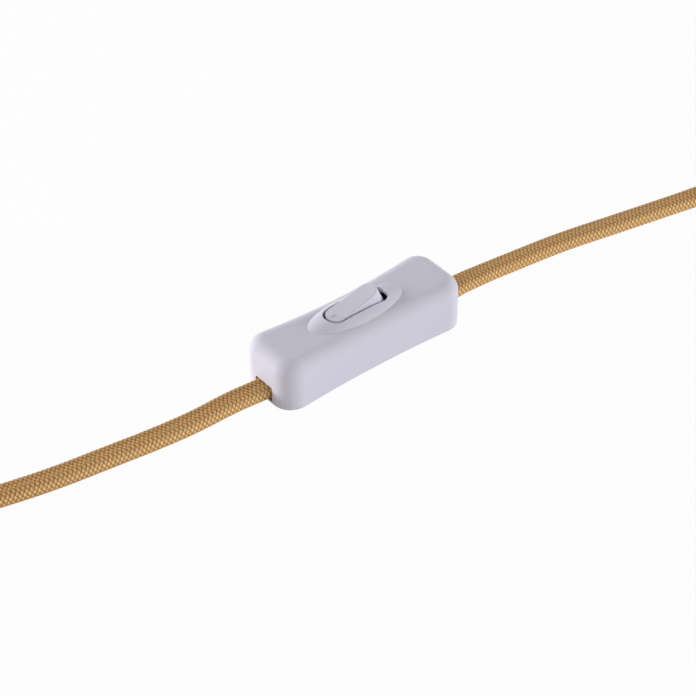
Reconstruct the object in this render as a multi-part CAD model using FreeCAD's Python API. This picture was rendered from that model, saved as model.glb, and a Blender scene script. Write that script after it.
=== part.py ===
import FreeCAD, Part
import math
import os

# Inline cord switch on a flat textile-covered cord. Millimetres, +Z up, +X along the body.
# The origin is the centre of the body's underside. The rocker is at rest with its -X end pressed.

V = FreeCAD.Vector
AXIS_X = V(1, 0, 0)
AXIS_Y = V(0, 1, 0)
AXIS_Z = V(0, 0, 1)

# Housing
body_length = 63.0
end_width = 20.2
waist_width = 18.4
end_height = 15.3
waist_height = 14.1
corner_radius = 5.7
top_round = 4.0
wall = 1.6
lid_thickness = 1.6
lid_gap = 0.15
over = 2.0  # how far a cutting shape runs past what it cuts
arc_share = 0.45  # how much of the shorter run beside it a bend takes up

# Island round the slot
island_length = 32.2
island_width = 12.0
crown_height = 16.9
crown_radius = 7.9
crown_flat = 5.6
crown_end_radius = 35.2
slot_straight = 13.6
slot_width = 7.2

# Rocker
pivot_height = 11.4
rocker_tilt = 13.0
rocker_top = 5.9  # the middle of the dished top above the pivot
rocker_dish = 0.5
rocker_skirt = 0.8  # the skirt's lower edge above the pivot
rocker_foot_length = 18.9
rocker_foot_width = 6.5
rocker_head_length = 16.6
rocker_head_width = 5.7
rocker_wall = 1.2
rocker_roof = 1.4
rocker_edge_round = 0.3
hub_length = 5.4
hub_radius = 2.4
trunnion_radius = 1.25
running_clearance = 0.05
cheek_thickness = 1.8
cheek_length = 5.8
cheek_drop = 2.4
stem_radius = 2.2
stem_length = 4.3
bore_depth = 7.9

# Plunger and its spring
plunger_radius = 1.25
plunger_gap = 0.08
plunger_head = 1.1  # the plunger's shoulder below the pivot
plunger_pilot_radius = 0.55
plunger_pilot_length = 1.0
passing_gap = 0.05  # between plunger and see-saw at mid travel
spring_mean_radius = 0.92
spring_wire_radius = 0.16
spring_turns = 6
spring_end_gap = 0.05

# See-saw contact
seesaw_radius = 5.9  # from the rocker's pivot to the plate's face
seesaw_tilt = 10.0
seesaw_arm = 4.6
seesaw_width = 3.2
seesaw_thickness = 0.6
stub_radius = 0.5
stub_length = 0.85
stub_clearance = 0.03
contact_along_arm = 3.4
contact_head_radius = 1.1
contact_head_height = 0.5
contact_shank_radius = 0.6
contact_gap = 0.04

# Terminals
strip_level = 2.6
strip_thickness = 0.8
strip_width = 3.2
common_strip_end = 1.9
fixed_strip_start = 3.2
ear_gap = 0.1
ear_thickness = 0.8
ear_length = 3.0
ear_above_stub = 0.7
rest_tab_length = 1.0
block_length = 5.0
block_width = 4.4
block_height = 5.4
block_inset = 17.5  # from the body's end to the outer face of each live terminal block
block_offset = -2.0
link_length = 15.0
link_width = 4.4
link_height = 5.0
link_gap = 0.4  # between the neutral link and the see-saw's cradle
link_screw_spacing = 10.0
wire_height = 4.6
wire_hole_radius = 0.9
screw_head_radius = 1.9
screw_head_height = 1.3
screw_shaft_radius = 1.2
screw_slot_width = 0.5
screw_slot_depth = 0.6

# Conductors
wire_radius = 1.05
core_radius = 0.6
core_length = 4.0
wire_spacing = 3.0
wire_lead = 2.0  # the straight piece of a wire at its end
wire_rise = 3.6  # how far a wire takes to climb
neutral_drift = 0.4  # how far a neutral wire leaves the middle while it climbs

# Cord and its entry
cord_width = 6.4
cord_height = 4.4
cord_edge_radius = 1.8
cord_inside = 10.7  # how far the sheath reaches into the body
channel_floor = 0.5
cord_lift = 0.05
notch_gap = 0.35
notch_corner = 0.6

# Cord clamps
clamp_inset = 7.0  # from the body's end to the clamp's middle
clamp_length = 4.0
clamp_end = 1.8  # from a clamp's screw to its end
clamp_height = 2.2
clamp_screw_gap = 2.2  # from the cord's side to a clamp's screw
clamp_post_radius = 1.9
clamp_lift = 0.06  # between the cord's top and a clamp
clamp_squeeze = 0.3  # left between a post and the cord's top
clamp_screw_radius = 0.85
clamp_screw_head_radius = 1.6
clamp_screw_head_height = 1.1
clamp_screw_length = 4.6
clamp_hole_gap = 0.15

# Housing screws
housing_screw_inset = 14.5  # from the body's end
housing_screw_y = 5.2
housing_screw_radius = 1.05
housing_screw_length = 7.5
housing_screw_head_radius = 2.2
housing_screw_head_height = 1.2
housing_screw_recess = 1.5
housing_hole_gap = 0.3
lid_boss_radius = 2.6
lid_boss_height = 1.4
post_radius = 2.2

# Hanks of put-away cord
hank_fold_radius = 18.8
hank_straight = 52.0
hank_layers = 3
hank_lift = 0.6  # the tie's band passes under the turns
plug_hank_near = -143.0
lamp_hank_near = 165.0
lamp_top_run = 12.5  # how far the last turn runs back along the far side
tie_width = 8.0
tie_gap = 0.05

# Plug
plug_face = -300.0
plug_length = 34.0
plug_width = 34.6
plug_thickness = 13.4
plug_neck_width = 15.0
plug_grip_start = 15.3  # from the plug's face to where its flanks draw in
plug_flank_swell = 1.5  # how far a flank stands out from its chord
plug_edge_round = 3.0
plug_offset = 4.7
relief_length = 20.0
relief_root_width = 11.0
relief_root_height = 9.0
relief_tip_width = 8.4
relief_tip_height = 6.4
relief_grooves = 3
relief_groove_width = 1.6
relief_core_inset = 0.15  # how far a groove's floor lies inside the relief's tip
pin_radius = 2.0
pin_length = 19.0
pin_spacing = 18.6
pin_tip_round = 1.2

# Bare conductors at the lamp's end
tail_length = 26.0
ferrule_radius = 0.85
ferrule_length = 8.0

# Worked-out levels
half_length = body_length / 2
exit_level = channel_floor + cord_lift + cord_height / 2
cord_top = exit_level + cord_height / 2
fulcrum_height = pivot_height - seesaw_radius - seesaw_thickness / 2
strip_top = strip_level + strip_thickness
sheath_end = half_length - cord_inside
block_end = half_length - block_inset
link_end = link_length / 2
link_offset = seesaw_width / 2 + ear_gap + ear_thickness + link_gap + link_width / 2
clamp_centre = half_length - clamp_inset
clamp_foot = cord_top + clamp_lift
clamp_screw_offset = cord_width / 2 + clamp_screw_gap
clamp_width = 2 * (clamp_screw_offset + clamp_end)
housing_screw_x = half_length - housing_screw_inset
hank_top = hank_lift + hank_layers * cord_height
top_turn_level = hank_top + cord_height / 2
plug_axis_level = plug_thickness / 2
plug_tail_end = plug_face + plug_length + relief_length

# Routes of the cord's middle line
plug_route = [
    (-sheath_end, 0.0, exit_level),
    (-30.0, 0.0, exit_level),
    (-41.5, 1.15, 2.8),
    (-53.5, 1.2, 2.45),
    (-66.0, 2.45, 2.35),
    (-79.0, 4.3, 2.35),
    (-95.0, 6.4, 2.35),
    (-111.5, 10.1, 2.4),
    (-127.5, 14.4, 2.55),
    (plug_hank_near, hank_fold_radius, hank_lift + cord_height / 2),
]
plug_tail_route = [
    (plug_hank_near - 2.0, hank_fold_radius, top_turn_level),
    (-163.0, 18.2, top_turn_level),
    (-181.0, 15.0, top_turn_level),
    (-198.0, 9.6, top_turn_level + 0.15),
    (-217.0, 5.8, top_turn_level + 0.5),
    (-229.0, 4.9, 12.4),
    (-238.5, plug_offset, 8.3),
    (plug_tail_end, plug_offset, plug_axis_level),
]
lamp_route = [
    (sheath_end, 0.0, exit_level),
    (28.0, 0.0, exit_level),
    (36.0, 0.8, 3.4),
    (46.5, 0.75, 2.75),
    (60.0, -0.55, 2.55),
    (75.0, -2.3, 2.55),
    (91.0, -5.55, 2.55),
    (107.0, -8.65, 2.55),
    (123.5, -11.8, 2.55),
    (144.5, -15.7, 2.65),
    (lamp_hank_near, -hank_fold_radius, hank_lift + cord_height / 2),
]


def box(x0, x1, y0, y1, z0, z1):
    return Part.makeBox(x1 - x0, y1 - y0, z1 - z0, V(x0, y0, z0))


def rod(radius, start, direction, length):
    return Part.makeCylinder(radius, length, start, direction)


def upright(radius, x, y, z0, z1):
    return rod(radius, V(x, y, z0), AXIS_Z, z1 - z0)


def runs_along(edge, axis):
    """Whether an edge starts off along this axis."""
    return abs(edge.tangentAt(edge.FirstParameter).dot(axis)) > math.cos(math.radians(20))


def turned(shape, degrees, height):
    """The shape turned about the Y line through the middle at this height; positive lifts the +X end."""
    copy = shape.copy()
    copy.rotate(V(0, 0, height), AXIS_Y, -degrees)
    return copy


def stadium(half_straight, radius, z, x=0.0):
    left, right = x - half_straight, x + half_straight
    return Part.Wire([
        Part.makeLine(V(left, -radius, z), V(right, -radius, z)),
        Part.Arc(V(right, -radius, z), V(right + radius, 0, z), V(right, radius, z)).toShape(),
        Part.makeLine(V(right, radius, z), V(left, radius, z)),
        Part.Arc(V(left, radius, z), V(left - radius, 0, z), V(left, -radius, z)).toShape(),
    ])


def stadium_prism(half_straight, radius, z0, z1, x=0.0):
    return Part.Face(stadium(half_straight, radius, z0, x)).extrude(V(0, 0, z1 - z0))


# Paths and tubes


def path_of(name, points):
    """Straight runs joined by the largest tangent arcs that the runs allow."""
    points = [V(*p) for p in points]
    edges = []
    radii = []
    start = points[0]
    for before, corner, after in zip(points, points[1:], points[2:]):
        run_in = corner - before
        run_out = after - corner
        reach = arc_share * min(run_in.Length, run_out.Length)
        half_turn = run_in.getAngle(run_out) / 2
        radius = reach / math.tan(half_turn)
        ahead = V(run_out).normalize()
        behind = V(run_in).normalize()
        inward = (ahead - behind).normalize()
        middle = corner + inward * (radius / math.cos(half_turn) - radius)
        arc_start = corner - behind * reach
        arc_end = corner + ahead * reach
        edges.append(Part.makeLine(start, arc_start))
        edges.append(Part.Arc(arc_start, middle, arc_end).toShape())
        start = arc_end
        radii.append(round(radius, 1))
    edges.append(Part.makeLine(start, points[-1]))
    print(name, "arc radii", radii)
    return Part.Wire(edges)


def flat_section(at, heading):
    """The cord's section: a flat rounded rectangle, its wide side level."""
    ahead = V(*heading).normalize()
    side = AXIS_Z.cross(ahead).normalize()
    up = ahead.cross(side)
    w, h, r = cord_width / 2, cord_height / 2, cord_edge_radius
    turn = r * math.sqrt(0.5)

    def point(across, high):
        return at + side * across + up * high

    edges = []
    for sx, sz in ((1, 1), (-1, 1), (-1, -1), (1, -1)):
        end_side = point(sx * w, sz * (h - r))
        end_top = point(sx * (w - r), sz * h)
        bend = point(sx * (w - r + turn), sz * (h - r + turn))
        first, last = (end_side, end_top) if sx * sz > 0 else (end_top, end_side)
        edges.append(Part.Arc(first, bend, last).toShape())
    outline = []
    for arc, following in zip(edges, edges[1:] + edges[:1]):
        outline.append(arc)
        outline.append(Part.makeLine(arc.Vertexes[-1].Point, following.Vertexes[0].Point))
    return Part.Wire(outline)


def flat_cord(name, points):
    path = path_of(name, points)
    start = V(*points[0])
    shell = Part.BRepOffsetAPI.MakePipeShell(path)
    shell.setBiNormalMode(AXIS_Z)
    shell.add(flat_section(start, V(*points[1]) - start))
    shell.build()
    shell.makeSolid()
    solid = shell.shape()
    swept = Part.Face(flat_section(start, AXIS_X)).Area * path.Length
    print(name, "length", round(path.Length, 1), "filled", round(solid.Volume / swept, 4))
    return solid


def round_wire(name, points, radius):
    path = path_of(name, points)
    start = V(*points[0])
    circle = Part.Wire(Part.makeCircle(radius, start, V(*points[1]) - start))
    return path.makePipeShell([circle], True, False)


# Housing


def body_block(inset, floor):
    """The body's outer form, or its hollow when inset: waisted plan, dipped top, rounded edges."""
    reach = half_length - corner_radius
    waist_depth = (end_width - waist_width) / 2
    side_radius = (reach ** 2 + waist_depth ** 2) / (2 * waist_depth)
    side_centre = waist_width / 2 + side_radius
    end = half_length - inset

    def side(x):
        return side_centre - math.sqrt((side_radius + inset) ** 2 - x ** 2)

    corner = side(end)
    waist = side(0)
    plan = Part.Wire([
        Part.Arc(V(-end, -corner, floor), V(0, -waist, floor), V(end, -corner, floor)).toShape(),
        Part.makeLine(V(end, -corner, floor), V(end, corner, floor)),
        Part.Arc(V(end, corner, floor), V(0, waist, floor), V(-end, corner, floor)).toShape(),
        Part.makeLine(V(-end, corner, floor), V(-end, -corner, floor)),
    ])
    prism = Part.Face(plan).extrude(V(0, 0, 2 * end_height - floor))
    posts = [e for e in prism.Edges if runs_along(e, AXIS_Z)]
    prism = prism.makeFillet(corner_radius - inset, posts)

    dip = end_height - waist_height
    dip_radius = (half_length ** 2 + dip ** 2) / (2 * dip)
    dip_centre = waist_height + dip_radius
    edge = half_length + over

    def roof(x):
        return dip_centre - math.sqrt((dip_radius + inset) ** 2 - x ** 2)

    y = -end_width
    profile = Part.Wire([
        Part.makeLine(V(-edge, y, floor), V(edge, y, floor)),
        Part.makeLine(V(edge, y, floor), V(edge, y, roof(edge))),
        Part.Arc(V(edge, y, roof(edge)), V(0, y, roof(0)), V(-edge, y, roof(edge))).toShape(),
        Part.makeLine(V(-edge, y, roof(edge)), V(-edge, y, floor)),
    ])
    block = prism.common(Part.Face(profile).extrude(V(0, 2 * end_width, 0)))
    top_face = max(block.Faces, key=lambda face: face.CenterOfMass.z)
    return block.makeFillet(top_round - inset, top_face.Edges)


def island(inset):
    """The crowned land round the slot: a barrel along X, trimmed to an oval."""
    axis = crown_height - crown_radius
    crown = crown_height - inset
    flat = crown_flat / 2
    edge = island_length / 2 + over
    end_radius = crown_end_radius - inset

    def drop(x):
        return crown - end_radius + math.sqrt(end_radius ** 2 - (x - flat) ** 2)

    middle = (flat + edge) / 2
    profile = Part.Wire([
        Part.makeLine(V(-edge, 0, axis), V(edge, 0, axis)),
        Part.makeLine(V(edge, 0, axis), V(edge, 0, drop(edge))),
        Part.Arc(V(edge, 0, drop(edge)), V(middle, 0, drop(middle)), V(flat, 0, crown)).toShape(),
        Part.makeLine(V(flat, 0, crown), V(-flat, 0, crown)),
        Part.Arc(V(-flat, 0, crown), V(-middle, 0, drop(middle)), V(-edge, 0, drop(edge))).toShape(),
        Part.makeLine(V(-edge, 0, drop(edge)), V(-edge, 0, axis)),
    ])
    barrel = Part.Face(profile).revolve(V(0, 0, axis), AXIS_X, 360)
    base = waist_height - top_round
    oval = Part.Ellipse(V(0, 0, base), island_length / 2 - inset, island_width / 2 - inset)
    oval_prism = Part.Face(Part.Wire(oval.toShape())).extrude(V(0, 0, crown_radius))
    return barrel.common(oval_prism)


def cheeks():
    inner = slot_width / 2
    outer = inner + cheek_thickness
    low = pivot_height - cheek_drop
    high = crown_height - wall
    pair = []
    for side in (1, -1):
        y0, y1 = sorted((side * inner, side * outer))
        cheek = box(-cheek_length / 2, cheek_length / 2, y0, y1, low, high)
        lower = [e for e in cheek.Edges if runs_along(e, AXIS_Y) and e.CenterOfMass.z < pivot_height]
        pair.append(cheek.makeFillet(cheek_length / 4, lower))
    return pair[0].fuse(pair[1])


def housing_screw_places():
    return ((-housing_screw_x, housing_screw_y), (housing_screw_x, -housing_screw_y))


def make_upper_housing():
    outer = body_block(0.0, 0.0).fuse(island(0.0))
    hollow = body_block(wall, -over).fuse(island(wall))
    post_foot = lid_thickness + lid_boss_height
    ribs = cheeks()
    for x, y in housing_screw_places():
        ribs = ribs.fuse(upright(post_radius, x, y, post_foot, end_height))
    shell = outer.cut(hollow).fuse(ribs.common(outer))
    slot = stadium_prism(slot_straight / 2, slot_width / 2, pivot_height, crown_height + over)
    shell = shell.cut(slot)
    bearing_half = slot_width / 2 + cheek_thickness + running_clearance
    bearing_start = V(0, -bearing_half, pivot_height)
    shell = shell.cut(rod(trunnion_radius + running_clearance, bearing_start, AXIS_Y, 2 * bearing_half))
    for x, y in housing_screw_places():
        hole_top = post_foot + housing_screw_length
        shell = shell.cut(upright(housing_screw_radius, x, y, post_foot - over, hole_top))
    side = cord_width / 2 + notch_gap
    for end in (-1, 1):
        x0, x1 = sorted((end * (half_length - wall - over), end * (half_length + over)))
        notch = box(x0, x1, -side, side, -over, cord_top + notch_gap)
        upper = [e for e in notch.Edges if runs_along(e, AXIS_X) and e.CenterOfMass.z > 0]
        shell = shell.cut(notch.makeFillet(notch_corner, upper))
    return shell.removeSplitter()


def make_base_lid():
    inset = wall + lid_gap
    plan = body_block(inset, 0.0)
    plate = plan.common(box(-body_length, body_length, -end_width, end_width, 0, lid_thickness))
    side = cord_width / 2 + notch_gap - lid_gap
    boss_top = lid_thickness + lid_boss_height
    post_top = cord_top - clamp_squeeze
    for end in (-1, 1):
        x0, x1 = sorted((end * sheath_end, end * half_length))
        plate = plate.fuse(box(x0, x1, -side, side, 0, channel_floor))
        for y in (-clamp_screw_offset, clamp_screw_offset):
            plate = plate.fuse(upright(clamp_post_radius, end * clamp_centre, y, 0, post_top))
    for x, y in housing_screw_places():
        plate = plate.fuse(upright(lid_boss_radius, x, y, 0, boss_top).common(plan))
    block_low = block_offset - block_width / 2
    strip_side = strip_width / 2
    inner_face = block_end - block_length
    for end in (-1, 1):
        x0, x1 = sorted((end * inner_face, end * block_end))
        plate = plate.fuse(box(x0, x1, block_low, block_low + block_width, 0, strip_level))
    plate = plate.fuse(box(-inner_face, common_strip_end, -strip_side, strip_side, 0, strip_level))
    plate = plate.fuse(box(fixed_strip_start, inner_face, -strip_side, strip_side, 0, strip_level))
    link_low = link_offset - link_width / 2
    plate = plate.fuse(box(-link_end, link_end, link_low, link_low + link_width, 0, strip_level))
    for end in (-1, 1):
        x0, x1 = sorted((end * sheath_end, end * (half_length + over)))
        plate = plate.cut(box(x0, x1, -side, side, channel_floor, cord_top))
        for y in (-clamp_screw_offset, clamp_screw_offset):
            foot = clamp_foot + clamp_height - clamp_screw_length
            plate = plate.cut(upright(clamp_screw_radius, end * clamp_centre, y, foot, cord_top))
    for x, y in housing_screw_places():
        head_room = housing_screw_head_radius + housing_hole_gap
        shaft_room = housing_screw_radius + housing_hole_gap
        plate = plate.cut(upright(head_room, x, y, -over, housing_screw_recess))
        plate = plate.cut(upright(shaft_room, x, y, -over, boss_top + over))
    return plate.removeSplitter()


# Rocker and switching mechanism, made level and then turned to rest


def make_rocker():
    skirt = pivot_height + rocker_skirt
    head = pivot_height + rocker_top + rocker_dish
    foot_radius = rocker_foot_width / 2
    head_radius = rocker_head_width / 2
    foot = stadium(rocker_foot_length / 2 - foot_radius, foot_radius, skirt)
    crest = stadium(rocker_head_length / 2 - head_radius, head_radius, head)
    block = Part.makeLoft([foot, crest], True, True)

    reach = rocker_head_length / 2
    wide = rocker_foot_width
    low = pivot_height + rocker_top
    dish_profile = Part.Wire([
        Part.Arc(V(-reach, -wide, head), V(0, -wide, low), V(reach, -wide, head)).toShape(),
        Part.makeLine(V(reach, -wide, head), V(reach, -wide, head + over)),
        Part.makeLine(V(reach, -wide, head + over), V(-reach, -wide, head + over)),
        Part.makeLine(V(-reach, -wide, head + over), V(-reach, -wide, head)),
    ])
    block = block.cut(Part.Face(dish_profile).extrude(V(0, 2 * wide, 0)))
    top_face = max(block.Faces, key=lambda face: face.CenterOfMass.z)
    block = block.makeFillet(rocker_edge_round, top_face.Edges)

    inner_radius = head_radius - rocker_wall
    inner_half = rocker_head_length / 2 - rocker_wall - inner_radius
    hollow = stadium_prism(inner_half, inner_radius, skirt - over, low - rocker_roof)
    hub_side = rocker_foot_width / 2
    hub_half = hub_length / 2
    hollow = hollow.cut(box(-hub_half, hub_half, -hub_side, hub_side, skirt - 2 * over, low))
    hub = rod(hub_radius, V(0, -hub_side, pivot_height), AXIS_Y, 2 * hub_side)
    hub = hub.fuse(box(-hub_radius, hub_radius, -hub_side, hub_side, pivot_height, skirt + rocker_roof))
    pin_half = slot_width / 2 + cheek_thickness
    trunnions = rod(trunnion_radius, V(0, -pin_half, pivot_height), AXIS_Y, 2 * pin_half)
    stem_foot = pivot_height - stem_length
    stem = upright(stem_radius, 0, 0, stem_foot, pivot_height)
    rocker = block.cut(hollow).fuse(hub).fuse(trunnions).fuse(stem)
    bore = upright(plunger_radius + plunger_gap, 0, 0, stem_foot, stem_foot + bore_depth)
    return turned(rocker.cut(bore).removeSplitter(), rocker_tilt, pivot_height)


def make_plunger():
    tip = pivot_height - seesaw_radius + passing_gap
    shoulder = pivot_height - plunger_head
    body = upright(plunger_radius, 0, 0, tip + plunger_radius, shoulder)
    nose = Part.makeSphere(plunger_radius, V(0, 0, tip + plunger_radius))
    pilot = upright(plunger_pilot_radius, 0, 0, shoulder, shoulder + plunger_pilot_length)
    return turned(body.fuse(nose).fuse(pilot).removeSplitter(), rocker_tilt, pivot_height)


def make_plunger_spring():
    foot = pivot_height - plunger_head + spring_end_gap + spring_wire_radius
    roof = pivot_height - stem_length + bore_depth - spring_end_gap - spring_wire_radius
    pitch = (roof - foot) / spring_turns
    helix = Part.makeHelix(pitch, roof - foot, spring_mean_radius)
    helix.translate(V(0, 0, foot))
    start = V(spring_mean_radius, 0, foot)
    heading = V(0, 2 * math.pi * spring_mean_radius, pitch)
    ring = Part.Wire(Part.makeCircle(spring_wire_radius, start, heading))
    spring = Part.Wire(helix).makePipeShell([ring], True, True)
    return turned(spring, rocker_tilt, pivot_height)


def arm_point(along, below):
    """A point of the level see-saw's +X arm, this far along it and this far below its face."""
    lean = math.radians(seesaw_tilt)
    start = V(seesaw_radius * math.sin(lean), 0, pivot_height - seesaw_radius * math.cos(lean))
    ahead = V(math.cos(lean), 0, math.sin(lean))
    down = V(math.sin(lean), 0, -math.cos(lean))
    return start + ahead * along + down * below


def mirrored(point):
    return V(-point.x, point.y, point.z)


def make_seesaw_contact():
    t = seesaw_thickness
    face_low = V(0, 0, pivot_height - seesaw_radius)
    back_low = V(0, 0, pivot_height - seesaw_radius - t)
    near, end = arm_point(0, 0), arm_point(seesaw_arm, 0)
    near_back, end_back = arm_point(0, t), arm_point(seesaw_arm, t)
    outline = Part.Wire([
        Part.makeLine(mirrored(end), mirrored(near)),
        Part.Arc(mirrored(near), face_low, near).toShape(),
        Part.makeLine(near, end),
        Part.makeLine(end, end_back),
        Part.makeLine(end_back, near_back),
        Part.Arc(near_back, back_low, mirrored(near_back)).toShape(),
        Part.makeLine(mirrored(near_back), mirrored(end_back)),
        Part.makeLine(mirrored(end_back), mirrored(end)),
    ])
    side = seesaw_width / 2
    plate = Part.Face(outline).extrude(V(0, seesaw_width, 0))
    plate.translate(V(0, -side, 0))
    stub_end = side + stub_length
    stubs = rod(stub_radius, V(0, -stub_end, fulcrum_height), AXIS_Y, stub_end - side)
    stubs = stubs.fuse(rod(stub_radius, V(0, side, fulcrum_height), AXIS_Y, stub_end - side))
    hole = rod(contact_shank_radius, arm_point(contact_along_arm, -over), contact_axis(), t + 2 * over)
    return turned(plate.fuse(stubs).cut(hole), -seesaw_tilt, fulcrum_height)


def contact_axis():
    return arm_point(contact_along_arm, 1) - arm_point(contact_along_arm, 0)


def make_moving_contact():
    face = arm_point(contact_along_arm, 0)
    back = arm_point(contact_along_arm, seesaw_thickness)
    shank = rod(contact_shank_radius, face, contact_axis(), seesaw_thickness)
    head = rod(contact_head_radius, back, contact_axis(), contact_head_height)
    return turned(shank.fuse(head).removeSplitter(), -seesaw_tilt, fulcrum_height)


def terminal_block(end):
    """A live terminal's block, its wire hole along X and its screw hole from above."""
    x0, x1 = sorted((end * (block_end - block_length), end * block_end))
    low = block_offset - block_width / 2
    top = strip_level + block_height
    block = box(x0, x1, low, low + block_width, strip_level, top)
    start = V(x0 - over, block_offset, wire_height)
    block = block.cut(rod(wire_hole_radius, start, AXIS_X, block_length + 2 * over))
    middle = (x0 + x1) / 2
    return block.cut(upright(screw_shaft_radius, middle, block_offset, wire_height, top + over))


def make_common_terminal():
    side = strip_width / 2
    strip = box(-(block_end - block_length), common_strip_end, -side, side, strip_level, strip_top)
    ear_inner = seesaw_width / 2 + ear_gap
    ear_top = fulcrum_height + ear_above_stub
    half = ear_length / 2
    cradle = box(-half, half, -ear_inner - ear_thickness, ear_inner + ear_thickness, strip_level, strip_top)
    for y in (-ear_inner - ear_thickness, ear_inner):
        cradle = cradle.fuse(box(-half, half, y, y + ear_thickness, strip_level, ear_top))
    r = stub_radius + stub_clearance
    reach = ear_inner + ear_thickness + over
    groove = rod(r, V(0, -reach, fulcrum_height), AXIS_Y, 2 * reach)
    groove = groove.fuse(box(-r, r, -reach, reach, fulcrum_height, ear_top + over))
    cradle = cradle.cut(groove)
    tab_start = -arm_rest_x() - rest_tab_length / 2
    tab_top = arm_rest_level() - contact_gap
    tab = box(tab_start, tab_start + rest_tab_length, -side, side, strip_level, tab_top)
    return terminal_block(-1).fuse(strip).fuse(cradle).fuse(tab).removeSplitter()


def arm_at_rest(along, below):
    """A point of the see-saw's +X arm once it is tipped down to rest, where that arm is level."""
    point = Part.Vertex(arm_point(along, below))
    return turned(point, -seesaw_tilt, fulcrum_height).Point


def arm_rest_x():
    return arm_at_rest(contact_along_arm, 0).x


def arm_rest_level():
    return arm_at_rest(contact_along_arm, seesaw_thickness).z


def make_fixed_terminal():
    side = strip_width / 2
    strip = box(fixed_strip_start, block_end - block_length, -side, side, strip_level, strip_top)
    return terminal_block(1).fuse(strip).removeSplitter()


def make_fixed_contact():
    top = arm_rest_level() - contact_head_height - contact_gap
    return upright(contact_head_radius, arm_rest_x(), 0, strip_top, top)


def make_neutral_link():
    low = link_offset - link_width / 2
    top = strip_level + link_height
    bar = box(-link_end, link_end, low, low + link_width, strip_level, top)
    start = V(-link_end - over, link_offset, wire_height)
    bar = bar.cut(rod(wire_hole_radius, start, AXIS_X, link_length + 2 * over))
    for x in (-link_screw_spacing / 2, link_screw_spacing / 2):
        bar = bar.cut(upright(screw_shaft_radius, x, link_offset, wire_height, top + over))
    return bar


def screw_slot(x, y, reach, head_top):
    half = screw_slot_width / 2
    return box(x - reach, x + reach, y - half, y + half, head_top - screw_slot_depth, head_top + over)


def slotted_screw(x, y, seat, tip):
    """A cheese-head screw standing on its seat, its shaft down to the tip."""
    head_top = seat + screw_head_height
    screw = upright(screw_head_radius, x, y, seat, head_top)
    screw = screw.fuse(upright(screw_shaft_radius, x, y, tip, seat))
    return screw.cut(screw_slot(x, y, screw_head_radius, head_top)).removeSplitter()


def make_terminal_screws():
    tip = wire_height + core_radius
    block_x = block_end - block_length / 2
    live = [slotted_screw(x, block_offset, strip_level + block_height, tip) for x in (-block_x, block_x)]
    link_x = link_screw_spacing / 2
    neutral = [slotted_screw(x, link_offset, strip_level + link_height, tip) for x in (-link_x, link_x)]
    return Part.makeCompound(live + neutral)


def make_housing_screws():
    seat = housing_screw_recess
    half = screw_slot_width / 2
    screws = []
    for x, y in housing_screw_places():
        screw = upright(housing_screw_head_radius, x, y, seat - housing_screw_head_height, seat)
        screw = screw.fuse(upright(housing_screw_radius, x, y, seat, seat + housing_screw_length))
        low = seat - housing_screw_head_height
        for dx, dy in ((housing_screw_radius, half), (half, housing_screw_radius)):
            screw = screw.cut(box(x - dx, x + dx, y - dy, y + dy, low - over, low + screw_slot_depth))
        screws.append(screw.removeSplitter())
    return Part.makeCompound(screws)


def make_cord_clamp(end):
    half = clamp_length / 2
    x = end * clamp_centre
    top = clamp_foot + clamp_height
    bar = box(x - half, x + half, -clamp_width / 2, clamp_width / 2, clamp_foot, top)
    corners = [e for e in bar.Edges if runs_along(e, AXIS_Z)]
    bar = bar.makeFillet(clamp_length / 4, corners)
    for y in (-clamp_screw_offset, clamp_screw_offset):
        bar = bar.cut(upright(clamp_screw_radius + clamp_hole_gap, x, y, clamp_foot - over, top + over))
    return bar


def make_clamp_screws():
    seat = clamp_foot + clamp_height
    screws = []
    for x in (-clamp_centre, clamp_centre):
        for y in (-clamp_screw_offset, clamp_screw_offset):
            head_top = seat + clamp_screw_head_height
            screw = upright(clamp_screw_head_radius, x, y, seat, head_top)
            screw = screw.fuse(upright(clamp_screw_radius, x, y, seat - clamp_screw_length, seat))
            screw = screw.cut(screw_slot(x, y, clamp_screw_head_radius, head_top))
            screws.append(screw.removeSplitter())
    return Part.makeCompound(screws)


# Conductors inside the body


def live_wire_route(end):
    y = -wire_spacing / 2
    return [
        (end * sheath_end, y, exit_level),
        (end * (sheath_end - wire_lead), y, exit_level),
        (end * (block_end + wire_lead), block_offset, wire_height),
        (end * block_end, block_offset, wire_height),
    ]


def neutral_wire_route(end):
    y = wire_spacing / 2
    climbed = sheath_end - wire_lead - wire_rise
    return [
        (end * sheath_end, y, exit_level),
        (end * (sheath_end - wire_lead), y, exit_level),
        (end * climbed, y + neutral_drift, wire_height),
        (end * (link_end + wire_lead), link_offset, wire_height),
        (end * link_end, link_offset, wire_height),
    ]


def make_wire_cores():
    cores = []
    for end in (-1, 1):
        for face, y in ((block_end, block_offset), (link_end, link_offset)):
            cores.append(rod(core_radius, V(end * face, y, wire_height), V(-end, 0, 0), core_length))
    return Part.makeCompound(cores)


# Hanks, plug and bare end


def hank_ring(x):
    """Full turns of the cord, one flat on another, as one solid."""
    outer = hank_fold_radius + cord_width / 2
    inner = hank_fold_radius - cord_width / 2
    half = hank_straight / 2
    ring = stadium_prism(half, outer, hank_lift, hank_top, x)
    return ring.cut(stadium_prism(half, inner, 0, hank_top + over, x))


def make_plug_hank():
    return hank_ring(plug_hank_near - hank_straight / 2)


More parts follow.
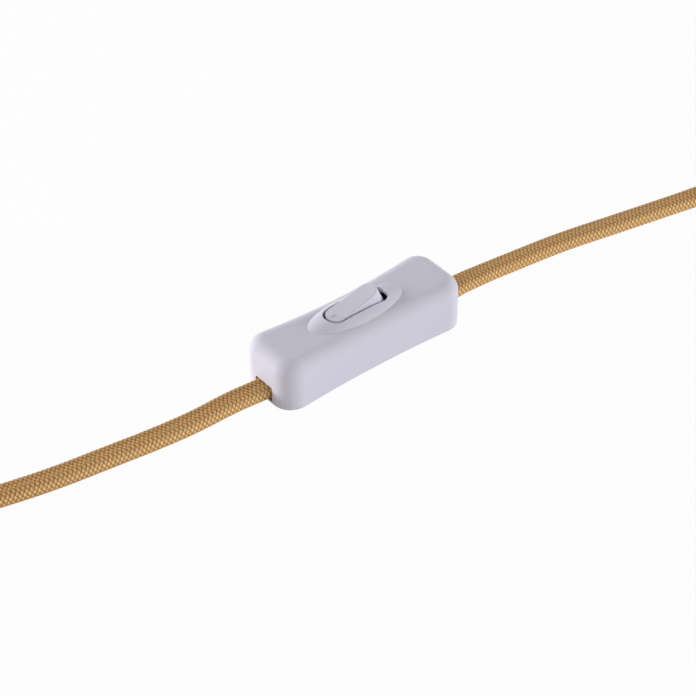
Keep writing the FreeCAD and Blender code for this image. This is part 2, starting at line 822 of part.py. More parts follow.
def make_lamp_hank():
    """Full turns, and the last half turn on top of them."""
    far = lamp_hank_near + hank_straight
    r = hank_fold_radius
    z = top_turn_level
    path = Part.Wire([
        Part.makeLine(V(lamp_hank_near, -r, z), V(far, -r, z)),
        Part.Arc(V(far, -r, z), V(far + r, 0, z), V(far, r, z)).toShape(),
        Part.makeLine(V(far, r, z), V(far - lamp_top_run, r, z)),
    ])
    shell = Part.BRepOffsetAPI.MakePipeShell(path)
    shell.setBiNormalMode(AXIS_Z)
    shell.add(flat_section(V(lamp_hank_near, -r, z), AXIS_X))
    shell.build()
    shell.makeSolid()
    return hank_ring(lamp_hank_near + hank_straight / 2).fuse(shell.shape())


def tie_band(x, y, top):
    half = tie_width / 2
    side = cord_width / 2 + tie_gap
    band = hank_lift - tie_gap
    reach = side + band
    outer = box(x - half, x + half, y - reach, y + reach, 0, top + hank_lift)
    return outer.cut(box(x - tie_width, x + tie_width, y - side, y + side, band, top + tie_gap))


def make_plug_hank_ties():
    x = plug_hank_near - hank_straight / 2
    return tie_band(x, -hank_fold_radius, hank_top)


def make_lamp_hank_ties():
    x = lamp_hank_near + hank_straight / 2
    return tie_band(x, -hank_fold_radius, hank_top + cord_height)


def make_plug_body():
    back = plug_face + plug_length
    shoulder = plug_face + plug_grip_start
    wide, neck = plug_width / 2, plug_neck_width / 2
    mid = (shoulder + back) / 2
    flank = (wide + neck) / 2 + plug_flank_swell
    plan = Part.Wire([
        Part.makeLine(V(plug_face, -wide, 0), V(shoulder, -wide, 0)),
        Part.Arc(V(shoulder, -wide, 0), V(mid, -flank, 0), V(back, -neck, 0)).toShape(),
        Part.makeLine(V(back, -neck, 0), V(back, neck, 0)),
        Part.Arc(V(back, neck, 0), V(mid, flank, 0), V(shoulder, wide, 0)).toShape(),
        Part.makeLine(V(shoulder, wide, 0), V(plug_face, wide, 0)),
        Part.makeLine(V(plug_face, wide, 0), V(plug_face, -wide, 0)),
    ])
    body = Part.Face(plan).extrude(V(0, 0, plug_thickness))
    rims = [e for e in body.Edges if not runs_along(e, AXIS_Z) and e.CenterOfMass.x > plug_face + lid_gap]
    body = body.makeFillet(plug_edge_round, rims)
    relief = Part.makeLoft([
        oval_wire(back - plug_edge_round, relief_root_width, relief_root_height),
        oval_wire(back + relief_length, relief_tip_width, relief_tip_height),
    ], True, True)
    pitch = relief_length / (relief_grooves + 1)
    core_width = relief_tip_width - 2 * relief_core_inset
    core_height = relief_tip_height - 2 * relief_core_inset
    for i in range(relief_grooves):
        x = back + pitch * (i + 1)
        ring = Part.Face(oval_wire(x, 2 * relief_root_width, 2 * relief_root_height))
        core = Part.Face(oval_wire(x, core_width, core_height))
        depth = AXIS_X * relief_groove_width
        relief = relief.cut(ring.extrude(depth).cut(core.extrude(depth)))
    plug = body.fuse(relief)
    plug.translate(V(0, plug_offset, 0))
    return plug.removeSplitter()


def oval_wire(x, width, height):
    """A flat oval across X at the plug's axis."""
    r = height / 2
    half = width / 2 - r
    z = plug_axis_level
    return Part.Wire([
        Part.makeLine(V(x, -half, z + r), V(x, half, z + r)),
        Part.Arc(V(x, half, z + r), V(x, half + r, z), V(x, half, z - r)).toShape(),
        Part.makeLine(V(x, half, z - r), V(x, -half, z - r)),
        Part.Arc(V(x, -half, z - r), V(x, -half - r, z), V(x, -half, z + r)).toShape(),
    ])


def pins():
    made = []
    for side in (-1, 1):
        y = plug_offset + side * pin_spacing / 2
        pin = rod(pin_radius, V(plug_face, y, plug_axis_level), V(-1, 0, 0), pin_length)
        tip = [e for e in pin.Edges if e.CenterOfMass.x < plug_face - pin_length + pin_tip_round / 2]
        made.append(pin.makeFillet(pin_tip_round, tip))
    return made


def lamp_tails():
    """The two conductors that come out of the sheath's end and lie along the top of the hank."""
    start = lamp_hank_near + hank_straight - lamp_top_run
    level = hank_top + wire_radius
    tails = []
    ferrules = []
    for side in (-1, 1):
        y = hank_fold_radius + side * wire_spacing / 2
        tails.append(rod(wire_radius, V(start, y, level), V(-1, 0, 0), tail_length))
        ferrules.append(rod(ferrule_radius, V(start - tail_length, y, level), V(-1, 0, 0), ferrule_length))
    return tails, ferrules


def main():
    tails, ferrules = lamp_tails()
    nodes = {
        "upper_housing": make_upper_housing(),
        "base_lid": make_base_lid(),
        "rocker": make_rocker(),
        "plunger": make_plunger(),
        "plunger_spring": make_plunger_spring(),
        "seesaw_contact": make_seesaw_contact(),
        "moving_contact": make_moving_contact(),
        "common_terminal": make_common_terminal(),
        "fixed_terminal": make_fixed_terminal(),
        "fixed_contact": make_fixed_contact(),
        "neutral_link": make_neutral_link(),
        "terminal_screws": make_terminal_screws(),
        "housing_screws": make_housing_screws(),
        "plug_side_clamp": make_cord_clamp(-1),
        "lamp_side_clamp": make_cord_clamp(1),
        "clamp_screws": make_clamp_screws(),
        "plug_side_live_wire": round_wire("plug_side_live_wire", live_wire_route(-1), wire_radius),
        "plug_side_neutral_wire": round_wire("plug_side_neutral_wire", neutral_wire_route(-1), wire_radius),
        "lamp_side_live_wire": round_wire("lamp_side_live_wire", live_wire_route(1), wire_radius),
        "lamp_side_neutral_wire": round_wire("lamp_side_neutral_wire", neutral_wire_route(1), wire_radius),
        "wire_cores": make_wire_cores(),
        "plug_cord": flat_cord("plug_cord", plug_route),
        "plug_hank": make_plug_hank(),
        "plug_hank_tie": make_plug_hank_ties(),
        "plug_tail": flat_cord("plug_tail", plug_tail_route),
        "plug_body": make_plug_body(),
        "plug_pins": Part.makeCompound(pins()),
        "lamp_cord": flat_cord("lamp_cord", lamp_route),
        "lamp_hank": make_lamp_hank(),
        "lamp_hank_tie": make_lamp_hank_ties(),
        "lamp_end_live_wire": tails[0],
        "lamp_end_neutral_wire": tails[1],
        "lamp_end_ferrules": Part.makeCompound(ferrules),
    }
    os.makedirs("parts", exist_ok=True)
    for name, shape in nodes.items():
        shape.exportStep("parts/" + name + ".step")
        print(name, shape.isValid(), len(shape.Solids), round(shape.Volume, 2))


main()
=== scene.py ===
import math

import bmesh
import bpy
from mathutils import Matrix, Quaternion, Vector


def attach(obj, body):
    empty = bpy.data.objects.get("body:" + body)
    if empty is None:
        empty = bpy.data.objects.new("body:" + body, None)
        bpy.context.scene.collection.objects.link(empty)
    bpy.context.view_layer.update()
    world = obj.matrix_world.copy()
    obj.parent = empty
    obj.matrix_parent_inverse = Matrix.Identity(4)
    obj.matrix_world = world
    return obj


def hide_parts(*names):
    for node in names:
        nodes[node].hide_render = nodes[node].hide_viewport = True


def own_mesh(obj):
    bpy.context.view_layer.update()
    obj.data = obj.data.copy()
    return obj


# An inline cord switch on a flat textile-covered cord, lying on a white table.
# Metres, except where a heading or a comment says otherwise.

MM = 0.001
SWITCH = "switch"

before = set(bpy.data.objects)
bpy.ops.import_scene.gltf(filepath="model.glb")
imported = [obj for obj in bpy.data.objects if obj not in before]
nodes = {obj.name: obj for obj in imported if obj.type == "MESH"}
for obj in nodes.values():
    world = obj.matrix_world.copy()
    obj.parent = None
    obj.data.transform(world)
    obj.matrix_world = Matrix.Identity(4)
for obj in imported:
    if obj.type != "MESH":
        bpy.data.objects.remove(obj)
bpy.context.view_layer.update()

# The cord's section
CORD_WIDTH = 6.4 * MM
CORD_HEIGHT = 4.4 * MM
CORD_EDGE = 1.8 * MM
CORD_DIP = 0.18 * MM  # the shallow valley between the two conductors
EDGE_STEPS = 5
DIP_STEPS = 6

# The cord's routes, in millimetres
EXIT_LEVEL = 2.75
FIRST_TURN_LEVEL = 2.8
TURN_PITCH = 4.4
HANK_FOLD = 18.8
HANK_STRAIGHT = 52.0
HANK_TURNS = 3
FOLD_POINTS = 9
STRAIGHT_POINTS = 3
FOLD_SWELL = 1.012  # the spline cuts a little inside its points
PLUG_HANK_NEAR = -143.0
LAMP_HANK_NEAR = 165.0
TOP_TURN_LEVEL = FIRST_TURN_LEVEL + HANK_TURNS * TURN_PITCH
ROLL_START, ROLL_FULL = 34.0, 52.0  # where the cord begins to roll on its side, and has done so
UNROLL_START, UNROLL_END = 112.0, 132.0
PLUG_ROLL, LAMP_ROLL = 5.0, 13.0  # degrees
SPLINE_STEPS = 10

PLUG_ROUTE = [
    (-20.8, 0.0, EXIT_LEVEL),
    (-30.0, 0.0, EXIT_LEVEL),
    (-41.5, 1.15, 2.8),
    (-53.5, 1.2, 2.45),
    (-66.0, 2.45, 2.35),
    (-79.0, 4.3, 2.35),
    (-95.0, 6.4, 2.35),
    (-111.5, 10.1, 2.4),
    (-127.5, 14.4, 2.55),
    (PLUG_HANK_NEAR, HANK_FOLD, FIRST_TURN_LEVEL),
]
PLUG_TAIL_ROUTE = [
    (-163.0, 18.2, TOP_TURN_LEVEL),
    (-181.0, 15.0, TOP_TURN_LEVEL),
    (-198.0, 9.6, TOP_TURN_LEVEL + 0.15),
    (-217.0, 5.8, TOP_TURN_LEVEL + 0.5),
    (-229.0, 4.9, 12.4),
    (-238.5, 4.7, 8.3),
    (-246.0, 4.7, 6.7),
]
LAMP_ROUTE = [
    (20.8, 0.0, EXIT_LEVEL),
    (28.0, 0.0, EXIT_LEVEL),
    (36.0, 0.8, 3.4),
    (46.5, 0.75, 2.75),
    (60.0, -0.55, 2.55),
    (75.0, -2.3, 2.55),
    (91.0, -5.55, 2.55),
    (107.0, -8.65, 2.55),
    (123.5, -11.8, 2.55),
    (144.5, -15.7, 2.65),
    (LAMP_HANK_NEAR, -HANK_FOLD, FIRST_TURN_LEVEL),
]
LAMP_END_RUN = 12.5

# Colours: linear red, green, blue and alpha
WHITE = (1.0, 1.0, 1.0, 1.0)
FLOOR_WHITE = (0.9, 0.9, 0.9, 1.0)
CASE_WHITE = (0.745, 0.725, 0.83, 1.0)
CLAMP_GREY = (0.6, 0.6, 0.6, 1.0)
PLUNGER_IVORY = (0.75, 0.72, 0.62, 1.0)
BRASS = (0.78, 0.56, 0.22, 1.0)
CONTACT_SILVER = (0.82, 0.82, 0.8, 1.0)
SPRING_STEEL = (0.6, 0.6, 0.62, 1.0)
SCREW_ZINC = (0.68, 0.68, 0.7, 1.0)
PIN_NICKEL = (0.74, 0.72, 0.68, 1.0)
COPPER = (0.8, 0.42, 0.26, 1.0)
FERRULE_TIN = (0.7, 0.7, 0.7, 1.0)
LIVE_BROWN = (0.09, 0.04, 0.02, 1.0)
NEUTRAL_BLUE = (0.02, 0.1, 0.38, 1.0)
TIE_BLACK = (0.03, 0.03, 0.032, 1.0)
# painted shade: the colour given to the hollows between the strands
YARN_HOLLOW_PAINTED_SHADE = (0.2, 0.095, 0.03, 1.0)
YARN_CROWN = (0.82, 0.465, 0.175, 1.0)
# painted light: how much paler the yarn is painted on the cord's two round edges
YARN_EDGE_PAINTED_LIGHT = (1.42, 1.57, 1.85, 1.0)
YARN_GLOSS_TINT = (1.0, 0.78, 0.5, 1.0)


# Node helpers


def new_material(name):
    material = bpy.data.materials.new(name)
    material.use_nodes = True
    tree = material.node_tree
    return material, tree, tree.nodes["Principled BSDF"]


def put(tree, value, socket):
    """Links an output to this socket, or sets the socket's own value."""
    if isinstance(value, bpy.types.NodeSocket):
        tree.links.new(value, socket)
    else:
        socket.default_value = value


def calc(tree, operation, a, b=0.0, c=0.0):
    node = tree.nodes.new("ShaderNodeMath")
    node.operation = operation
    for value, socket in zip((a, b, c), node.inputs):
        put(tree, value, socket)
    return node.outputs[0]


def mix_colour(tree, factor, a, b, blend="MIX"):
    node = tree.nodes.new("ShaderNodeMix")
    node.data_type = "RGBA"
    node.blend_type = blend
    put(tree, factor, node.inputs["Factor"])
    put(tree, a, node.inputs[6])
    put(tree, b, node.inputs[7])
    return node.outputs[2]


def noise(tree, scale, detail=2.0, stretch=(1, 1, 1)):
    place = tree.nodes.new("ShaderNodeTexCoord")
    mapping = tree.nodes.new("ShaderNodeMapping")
    mapping.inputs["Scale"].default_value = stretch
    tree.links.new(place.outputs["Object"], mapping.inputs["Vector"])
    texture = tree.nodes.new("ShaderNodeTexNoise")
    texture.inputs["Scale"].default_value = scale
    texture.inputs["Detail"].default_value = detail
    tree.links.new(mapping.outputs["Vector"], texture.inputs["Vector"])
    return texture.outputs["Fac"]


def span(tree, value, low, high):
    """A value between 0 and 1, spread from low to high."""
    return calc(tree, "MULTIPLY_ADD", value, high - low, low)


def bump(tree, shader, height, distance, strength):
    node = tree.nodes.new("ShaderNodeBump")
    node.inputs["Distance"].default_value = distance
    node.inputs["Strength"].default_value = strength
    tree.links.new(height, node.inputs["Height"])
    tree.links.new(node.outputs["Normal"], shader.inputs["Normal"])


def shade(colour, factor):
    """The colour made darker or lighter, its alpha kept at 1."""
    return tuple(c * factor for c in colour[:3]) + (1.0,)


# Materials


def moulded_plastic(name, colour, roughness):
    """Smooth satin moulding: faint clouding in the colour and a very fine surface texture."""
    cloud_scale, gloss_scale, grain_scale = 90.0, 400.0, 2600.0
    clouding = 0.015
    gloss_spread = 0.04
    grain_depth = 0.03 * MM
    material, tree, shader = new_material(name)
    clouds = noise(tree, cloud_scale)
    tint = mix_colour(tree, clouds, shade(colour, 1 - clouding), shade(colour, 1 + clouding))
    tree.links.new(tint, shader.inputs["Base Color"])
    gloss = span(tree, noise(tree, gloss_scale), roughness - gloss_spread, roughness + gloss_spread)
    tree.links.new(gloss, shader.inputs["Roughness"])
    bump(tree, shader, noise(tree, grain_scale, detail=3.0), grain_depth, strength=0.35)
    shader.inputs["Specular IOR Level"].default_value = 0.4
    return material


def worked_metal(name, colour, roughness, along):
    """Drawn or turned metal with fine lines along one axis."""
    line_scale = 2200.0
    line_stretch = 0.08
    darkest, lightest = 0.86, 1.06
    gloss_spread = 0.08
    line_depth = 0.02 * MM
    material, tree, shader = new_material(name)
    stretch = tuple(line_stretch if axis == along else 1.0 for axis in "XYZ")
    lines = noise(tree, line_scale, detail=4.0, stretch=stretch)
    tint = mix_colour(tree, lines, shade(colour, darkest), shade(colour, lightest))
    tree.links.new(tint, shader.inputs["Base Color"])
    gloss = span(tree, lines, roughness - gloss_spread, roughness + gloss_spread)
    tree.links.new(gloss, shader.inputs["Roughness"])
    bump(tree, shader, lines, line_depth, strength=0.5)
    shader.inputs["Metallic"].default_value = 1.0
    return material


def braided_textile(name):
    """A fine plain braid, its strands worked out from the tube's own map: round it, and along it, with
    painted shade in the hollows between the strands.
    The yarn is painted paler on the cord's two round edges, as painted light for the light that falls on
    the cord's sides.
    """
    cells_round = 9.0
    cell_length = 1.29  # millimetres, the map's unit along the cord
    side_height = 0.25  # of a strand's two sides, where its crown is 1
    dive_height = 0.4  # of its two ends, where it goes under other strands
    painted_light_edge_power = 3.0
    lean_contrast = 0.05
    mottle_scale = 1500.0
    mottle_contrast = 0.12
    braid_depth = 0.3 * MM
    material, tree, shader = new_material(name)
    place = tree.nodes.new("ShaderNodeUVMap")
    place.uv_map = "braid"
    parts = tree.nodes.new("ShaderNodeSeparateXYZ")
    tree.links.new(place.outputs["UV"], parts.inputs["Vector"])
    along = calc(tree, "DIVIDE", parts.outputs["Y"], cell_length)
    round_it = calc(tree, "MULTIPLY", parts.outputs["X"], cells_round)
    s = calc(tree, "ADD", along, round_it)
    t = calc(tree, "SUBTRACT", along, round_it)
    cell = calc(tree, "SUBTRACT", calc(tree, "FLOOR", s), calc(tree, "FLOOR", t))
    over = calc(tree, "LESS_THAN", calc(tree, "FLOORED_MODULO", cell, 2.0), 0.5)
    under = calc(tree, "SUBTRACT", 1.0, over)

    def rim(share):
        """0 in the middle of a cell, and 1 at its two sides."""
        from_middle = calc(tree, "MULTIPLY_ADD", calc(tree, "FRACT", share), 2.0, -1.0)
        return calc(tree, "MULTIPLY", from_middle, from_middle)

    def strand(across, along_it):
        """How high a strand stands: round across its width, and lower where it dives."""
        crown = span(tree, rim(across), 1.0, side_height)
        dive = span(tree, rim(along_it), 1.0, dive_height)
        return calc(tree, "MULTIPLY", crown, dive)

    one_way = calc(tree, "MULTIPLY", over, strand(t, s))
    other_way = calc(tree, "MULTIPLY", under, strand(s, t))
    height = calc(tree, "ADD", one_way, other_way)
    # Painted shade: the hollows between strands are coloured much darker than the crowns, for the shade
    # that falls in them.
    tone = mix_colour(tree, height, YARN_HOLLOW_PAINTED_SHADE, YARN_CROWN)
    # Painted light: the yarn is made paler towards the cord's two round edges, where the sides catch
    # more light.
    turn = calc(tree, "COSINE", calc(tree, "MULTIPLY", parts.outputs["X"], 2 * math.pi))
    edge = calc(tree, "POWER", calc(tree, "ABSOLUTE", turn), painted_light_edge_power)
    painted_edge_light = mix_colour(tree, edge, WHITE, YARN_EDGE_PAINTED_LIGHT)
    lean = mix_colour(tree, over, shade(WHITE, 1 - lean_contrast), shade(WHITE, 1 + lean_contrast))
    yarn = noise(tree, mottle_scale)
    mottle = mix_colour(tree, yarn, shade(WHITE, 1 - mottle_contrast), shade(WHITE, 1 + mottle_contrast))
    for tint in (painted_edge_light, lean, mottle):
        tone = mix_colour(tree, 1.0, tone, tint, "MULTIPLY")
    tree.links.new(tone, shader.inputs["Base Color"])
    shader.inputs["Roughness"].default_value = 0.55
    shader.inputs["Specular IOR Level"].default_value = 0.35
    shader.inputs["Specular Tint"].default_value = YARN_GLOSS_TINT
    bump(tree, shader, height, braid_depth, strength=1.0)
    return material


def woven_band(name, colour):
    """A coarse plain weave for the ties."""
    thread_waves = 9000.0  # radians per metre
    darkest, lightest = 0.7, 1.4
    thread_depth = 0.2 * MM
    material, tree, shader = new_material(name)
    place = tree.nodes.new("ShaderNodeTexCoord")
    parts = tree.nodes.new("ShaderNodeSeparateXYZ")
    tree.links.new(place.outputs["Object"], parts.inputs["Vector"])
    waves = []
    for axis in "XYZ":
        phase = calc(tree, "MULTIPLY", parts.outputs[axis], thread_waves)
        waves.append(calc(tree, "SINE", phase))
    weave = calc(tree, "MULTIPLY", waves[0], calc(tree, "ADD", waves[1], waves[2]))
    height = calc(tree, "MULTIPLY_ADD", weave, 0.25, 0.5)  # takes -2 to 2 into 0 to 1
    tint = mix_colour(tree, height, shade(colour, darkest), shade(colour, lightest))
    tree.links.new(tint, shader.inputs["Base Color"])
    shader.inputs["Roughness"].default_value = 0.85
    bump(tree, shader, height, thread_depth, strength=0.8)
    return material


# The cord


def spline_points(route):
    """The points of the smooth line that has the route's points as its control points."""
    curve = bpy.data.curves.new("route", "CURVE")
    curve.dimensions = "3D"
    spline = curve.splines.new("NURBS")
    spline.points.add(len(route) - 1)
    for point, place in zip(spline.points, route):
        point.co = (place[0] * MM, place[1] * MM, place[2] * MM, 1.0)
    spline.order_u = 3
    spline.use_endpoint_u = True
    spline.resolution_u = SPLINE_STEPS
    carrier = bpy.data.objects.new("route", curve)
    mesh = bpy.data.meshes.new_from_object(carrier)
    line = [v.co.copy() for v in mesh.vertices]
    bpy.data.meshes.remove(mesh)
    bpy.data.objects.remove(carrier)
    bpy.data.curves.remove(curve)
    return line


def fold(centre_x, first_degrees, low, high):
    """Half a turn about this centre, counter-clockwise, climbing from low to high."""
    radius = HANK_FOLD * FOLD_SWELL
    points = []
    for i in range(FOLD_POINTS):
        share = (i + 0.5) / FOLD_POINTS
        angle = math.radians(first_degrees + 180.0 * share)
        level = low + (high - low) * share
        points.append((centre_x + radius * math.cos(angle), radius * math.sin(angle), level))
    return points


def straight(x0, x1, y, level):
    """Points along a hank's straight side, after its first end and up to its last."""
    steps = STRAIGHT_POINTS + 1
    return [(x0 + (x1 - x0) * i / steps, y, level) for i in range(1, steps + 1)]


def plug_hank_turns():
    """Turns that start on the far side and climb on the end nearer to the switch."""
    near, far = PLUG_HANK_NEAR, PLUG_HANK_NEAR - HANK_STRAIGHT
    points = []
    for turn in range(HANK_TURNS):
        level = FIRST_TURN_LEVEL + turn * TURN_PITCH
        points += straight(near, far, HANK_FOLD, level)
        points += fold(far, 90.0, level, level)
        points += straight(far, near, -HANK_FOLD, level)
        points += fold(near, -90.0, level, level + TURN_PITCH)
    return points


def lamp_hank_turns():
    """Turns that start on the near side and climb on the end nearer to the switch.
    After half a turn more the cord ends on the far side.
    """
    near, far = LAMP_HANK_NEAR, LAMP_HANK_NEAR + HANK_STRAIGHT
    points = []
    for turn in range(HANK_TURNS + 1):
        level = FIRST_TURN_LEVEL + turn * TURN_PITCH
        points += straight(near, far, -HANK_FOLD, level)
        points += fold(far, -90.0, level, level)
        if turn < HANK_TURNS:
            points += straight(far, near, HANK_FOLD, level)
            points += fold(near, 90.0, level, level + TURN_PITCH)
    points.append((far, HANK_FOLD, TOP_TURN_LEVEL))
    points.append((far - LAMP_END_RUN, HANK_FOLD, TOP_TURN_LEVEL))
    return points


def cord_section():
    """The flat cord's outline, from one side round over the top: pairs of across and up."""
    h, r = CORD_HEIGHT / 2, CORD_EDGE
    reach = CORD_WIDTH / 2 - r
    half = []
    for i in range(EDGE_STEPS + 1):
        angle = math.radians(90.0 * i / EDGE_STEPS)
        half.append((reach + r * math.cos(angle), h - r + r * math.sin(angle)))
    for i in range(1, DIP_STEPS):
        x = reach - 2 * reach * i / DIP_STEPS
        dip = CORD_DIP * (0.5 + 0.5 * math.cos(math.pi * x / reach))
        half.append((x, h - dip))
    for i in range(EDGE_STEPS + 1):
        angle = math.radians(90.0 + 90.0 * i / EDGE_STEPS)
        half.append((-reach + r * math.cos(angle), h - r + r * math.sin(angle)))
    return half + [(-x, -y) for x, y in half]


def ramp(value, start, end):
    """0 up to the start and 1 from the end on, with a smooth step between them."""
    share = min(max((value - start) / (end - start), 0.0), 1.0)
    return share * share * (3 - 2 * share)


def roll_at(place, roll):
    """How far the cord lies rolled about its own line here, in radians."""
    away = abs(place.x) / MM
    share = ramp(away, ROLL_START, ROLL_FULL) * (1 - ramp(away, UNROLL_START, UNROLL_END))
    return math.radians(roll) * share


def flat_tube(name, line, roll, material):
    """The cord as one closed mesh along the line, mapped round and along for the braid."""
    section = cord_section()
    count = len(section)
    edges = [math.dist(section[i], section[(i + 1) % count]) for i in range(count)]
    round_share = [sum(edges[:i]) / sum(edges) for i in range(count + 1)]
    mesh = bmesh.new()
    braid = mesh.loops.layers.uv.new("braid")
    rings = []
    travelled = [0.0]
    for i, place in enumerate(line):
        if i:
            travelled.append(travelled[-1] + (place - line[i - 1]).length)
        ahead = (line[min(i + 1, len(line) - 1)] - line[max(i - 1, 0)]).normalized()
        side = Vector((0, 0, 1)).cross(ahead).normalized()
        side.rotate(Quaternion(ahead, math.copysign(roll_at(place, roll), -ahead.x)))
        up = ahead.cross(side)
        rings.append([mesh.verts.new(place + side * x + up * y) for x, y in section])
    for i in range(len(rings) - 1):
        for k in range(count):
            after = (k + 1) % count
            face = mesh.faces.new((rings[i][k], rings[i][after], rings[i + 1][after], rings[i + 1][k]))
            face.smooth = True
            corners = ((k, i), (k + 1, i), (k + 1, i + 1), (k, i + 1))
            for loop, (column, row) in zip(face.loops, corners):
                loop[braid].uv = (round_share[column], travelled[row] / MM)
    mesh.faces.new(reversed(rings[0]))
    mesh.faces.new(rings[-1])
    bmesh.ops.recalc_face_normals(mesh, faces=mesh.faces)
    data = bpy.data.meshes.new(name)
    mesh.to_mesh(data)
    mesh.free()
    data.materials.append(material)
    piece = bpy.data.objects.new(name, data)
    bpy.context.collection.objects.link(piece)
    return piece


def lay_plug_lead(textile):
    plug_line = spline_points(PLUG_ROUTE + plug_hank_turns() + PLUG_TAIL_ROUTE)
    plug_lead = flat_tube("plug_lead", plug_line, PLUG_ROLL, textile)
    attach(plug_lead, SWITCH)
    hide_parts("plug_cord", "plug_hank", "plug_tail")


def lay_lamp_lead(textile):
    lamp_line = spline_points(LAMP_ROUTE + lamp_hank_turns())
    lamp_lead = flat_tube("lamp_lead", lamp_line, LAMP_ROLL, textile)
    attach(lamp_lead, SWITCH)
    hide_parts("lamp_cord", "lamp_hank")


# Dressing the solids


def paint(material, *names):
    for name in names:
        slots = nodes[name].data.materials
        slots.clear()
        slots.append(material)


def dress_mouldings():
    paint(moulded_plastic("housing_plastic", CASE_WHITE, roughness=0.46), "upper_housing", "base_lid")
    rocker_plastic = moulded_plastic("rocker_plastic", CASE_WHITE, roughness=0.34)
    paint(rocker_plastic, "rocker")
    raise_dash(rocker_plastic)
    paint(moulded_plastic("plug_plastic", CASE_WHITE, roughness=0.45), "plug_body")
    clamp_plastic = moulded_plastic("clamp_plastic", CLAMP_GREY, roughness=0.5)
    paint(clamp_plastic, "plug_side_clamp", "lamp_side_clamp")
    paint(moulded_plastic("plunger_plastic", PLUNGER_IVORY, roughness=0.4), "plunger")


def dress_metal():
    brass = worked_metal("brass", BRASS, roughness=0.32, along="X")
    paint(brass, "seesaw_contact", "common_terminal", "fixed_terminal", "neutral_link")
    contact_metal = worked_metal("contact_metal", CONTACT_SILVER, roughness=0.3, along="Z")
    paint(contact_metal, "moving_contact", "fixed_contact")
    paint(worked_metal("spring_steel", SPRING_STEEL, roughness=0.3, along="Y"), "plunger_spring")
    wind_coil()
    screw_steel = worked_metal("screw_steel", SCREW_ZINC, roughness=0.35, along="Z")
    paint(screw_steel, "terminal_screws", "housing_screws", "clamp_screws")
    paint(worked_metal("pin_nickel", PIN_NICKEL, roughness=0.2, along="X"), "plug_pins")
    paint(worked_metal("copper", COPPER, roughness=0.35, along="X"), "wire_cores")
    paint(worked_metal("ferrule_tin", FERRULE_TIN, roughness=0.35, along="X"), "lamp_end_ferrules")


def dress_wires_and_ties():
    brown = moulded_plastic("brown_insulation", LIVE_BROWN, roughness=0.5)
    paint(brown, "plug_side_live_wire", "lamp_side_live_wire", "lamp_end_live_wire")
    blue = moulded_plastic("blue_insulation", NEUTRAL_BLUE, roughness=0.5)
    paint(blue, "plug_side_neutral_wire", "lamp_side_neutral_wire", "lamp_end_neutral_wire")
    paint(woven_band("tie_fabric", TIE_BLACK), "plug_hank_tie", "lamp_hank_tie")


def raise_dash(material):
    """The small raised dash on the rocker's pressed end, which lies along its dished top."""
    length, width, height = 1.5 * MM, 0.6 * MM, 0.3 * MM
    pivot = Vector((0.0, 0.0, 11.4 * MM))
    from_pivot = Vector((-6.9 * MM, 0.0, 6.22 * MM))  # while the rocker is level
    tilt = math.radians(-13.0)
    mesh = bmesh.new()
    bmesh.ops.create_cube(mesh, size=1.0)
    bmesh.ops.scale(mesh, vec=(length, width, 2 * height), verts=mesh.verts)
    bmesh.ops.bevel(mesh, geom=mesh.edges[:], offset=height / 2, segments=2, affect="EDGES")
    data = bpy.data.meshes.new("rocker_dash")
    mesh.to_mesh(data)
    mesh.free()
    data.materials.append(material)
    dash = bpy.data.objects.new("rocker_dash", data)
    bpy.context.collection.objects.link(dash)
    from_pivot.rotate(Quaternion((0, 1, 0), tilt))
    dash.location = pivot + from_pivot
    dash.rotation_euler = (0.0, tilt, 0.0)
    bpy.context.view_layer.update()
    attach(dash, "rocker")


def wind_coil():
    """The plunger's spring as a piece of its own, carried by the rocker."""
    data = nodes["plunger_spring"].data.copy()
    coil = bpy.data.objects.new("plunger_coil", data)
    bpy.context.collection.objects.link(coil)
    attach(coil, "rocker")
    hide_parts("plunger_spring")
    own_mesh(coil)


# Stage


def seen_white(tree):
    """1 where a ray comes straight from the camera, a reflection or glass."""
    rays = tree.nodes.new("ShaderNodeLightPath").outputs
    seen = calc(tree, "MAXIMUM", rays["Is Camera Ray"], rays["Is Glossy Ray"])
    return calc(tree, "MAXIMUM", seen, rays["Is Transmission Ray"])


def lay_floor():
    """A table that shows nearly plain white and keeps a faint shadow."""
    reach = 3.0
    glow_share = 0.96
    corners = [(-reach, -reach, 0), (reach, -reach, 0), (reach, reach, 0), (-reach, reach, 0)]
    mesh = bpy.data.meshes.new("floor")
    mesh.from_pydata(corners, [], [(0, 1, 2, 3)])
    floor = bpy.data.objects.new("floor", mesh)
    bpy.context.collection.objects.link(floor)
    material, tree, shader = new_material("floor_white")
    shader.inputs["Base Color"].default_value = FLOOR_WHITE
    shader.inputs["Roughness"].default_value = 0.9
    shader.inputs["Specular IOR Level"].default_value = 0.0
    glow = tree.nodes.new("ShaderNodeEmission")
    blend = tree.nodes.new("ShaderNodeMixShader")
    tree.links.new(calc(tree, "MULTIPLY", seen_white(tree), glow_share), blend.inputs["Fac"])
    tree.links.new(shader.outputs["BSDF"], blend.inputs[1])
    tree.links.new(glow.outputs["Emission"], blend.inputs[2])
    output = tree.nodes["Material Output"]
    tree.links.new(blend.outputs["Shader"], output.inputs["Surface"])
    mesh.materials.append(material)


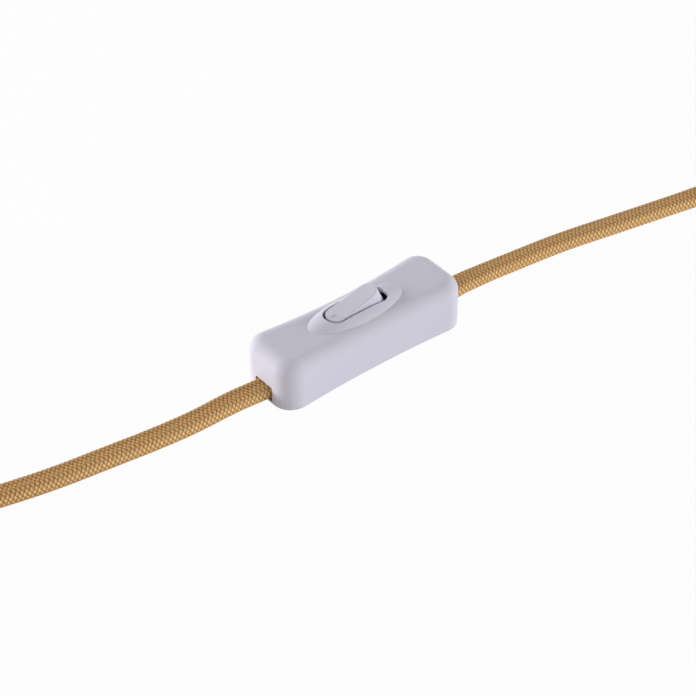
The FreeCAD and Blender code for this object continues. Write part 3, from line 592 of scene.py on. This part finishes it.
def light_world():
    """Soft light from all round, brighter at the sides than overhead, as in a tent of white cloth.
    The tent is open, and so darker, at two ends: the one that faces the switch's near left corner,
    and the one opposite.
    """
    ambient = 1.09
    opening_faces = (-0.64, -0.74, 0.2)
    opening_power = 5.0
    world = bpy.data.worlds.new("studio")
    bpy.context.scene.world = world
    world.use_nodes = True
    tree = world.node_tree
    background = tree.nodes["Background"]
    background.inputs["Color"].default_value = WHITE
    place = tree.nodes.new("ShaderNodeTexCoord")
    parts = tree.nodes.new("ShaderNodeSeparateXYZ")
    tree.links.new(place.outputs["Generated"], parts.inputs["Vector"])
    overhead = calc(tree, "MULTIPLY", parts.outputs["Z"], parts.outputs["Z"])
    tent = calc(tree, "MULTIPLY_ADD", overhead, -ambient, ambient)
    facing = tree.nodes.new("ShaderNodeVectorMath")
    facing.operation = "DOT_PRODUCT"
    facing.inputs[1].default_value = opening_faces
    tree.links.new(place.outputs["Generated"], facing.inputs[0])
    opening = calc(tree, "POWER", calc(tree, "ABSOLUTE", facing.outputs["Value"]), opening_power)
    tent = calc(tree, "MULTIPLY", tent, calc(tree, "SUBTRACT", 1.0, opening))
    tree.links.new(calc(tree, "MAXIMUM", seen_white(tree), tent), background.inputs["Strength"])


def softbox(name, place, width, height, power):
    """A lamp that faces the switch, its power in watts."""
    lamp = bpy.data.lights.new(name, "AREA")
    lamp.shape = "RECTANGLE"
    lamp.size = width
    lamp.size_y = height
    lamp.energy = power
    carrier = bpy.data.objects.new(name, lamp)
    carrier.location = place
    carrier.rotation_euler = (-Vector(place)).to_track_quat("-Z", "Y").to_euler()
    carrier.visible_glossy = False  # the white tent is what shows in the gloss
    bpy.context.collection.objects.link(carrier)


def set_lights():
    light_world()
    softbox("left_softbox", place=(-0.66, 0.75, 0.18), width=0.3, height=0.4, power=7.4)
    softbox("front_softbox", place=(0.53, -0.82, 0.2), width=0.5, height=0.4, power=3.4)


def set_camera():
    azimuth, elevation = math.radians(-39.0), math.radians(40.0)
    distance = 661.0 * MM
    focal_pixels, frame_pixels = 2400.0, 696.0
    origin_x, origin_y = 355.14, 349.36  # where the origin lies in the picture
    camera = bpy.data.cameras.new("camera")
    camera.sensor_width = 36.0
    camera.lens = camera.sensor_width * focal_pixels / frame_pixels
    camera.shift_x = (frame_pixels / 2 - origin_x) / frame_pixels
    camera.shift_y = (origin_y - frame_pixels / 2) / frame_pixels
    carrier = bpy.data.objects.new("camera", camera)
    flat = math.cos(elevation) * distance
    level = math.sin(elevation) * distance
    carrier.location = (math.sin(azimuth) * flat, -math.cos(azimuth) * flat, level)
    carrier.rotation_euler = (math.pi / 2 - elevation, 0.0, azimuth)
    bpy.context.collection.objects.link(carrier)
    bpy.context.scene.camera = carrier
    bpy.context.scene.view_settings.view_transform = "Standard"


set_camera()
dress_mouldings()
dress_metal()
dress_wires_and_ties()
cord_textile = braided_textile("cord_textile")
lay_plug_lead(cord_textile)
lay_lamp_lead(cord_textile)
lay_floor()
set_lights()
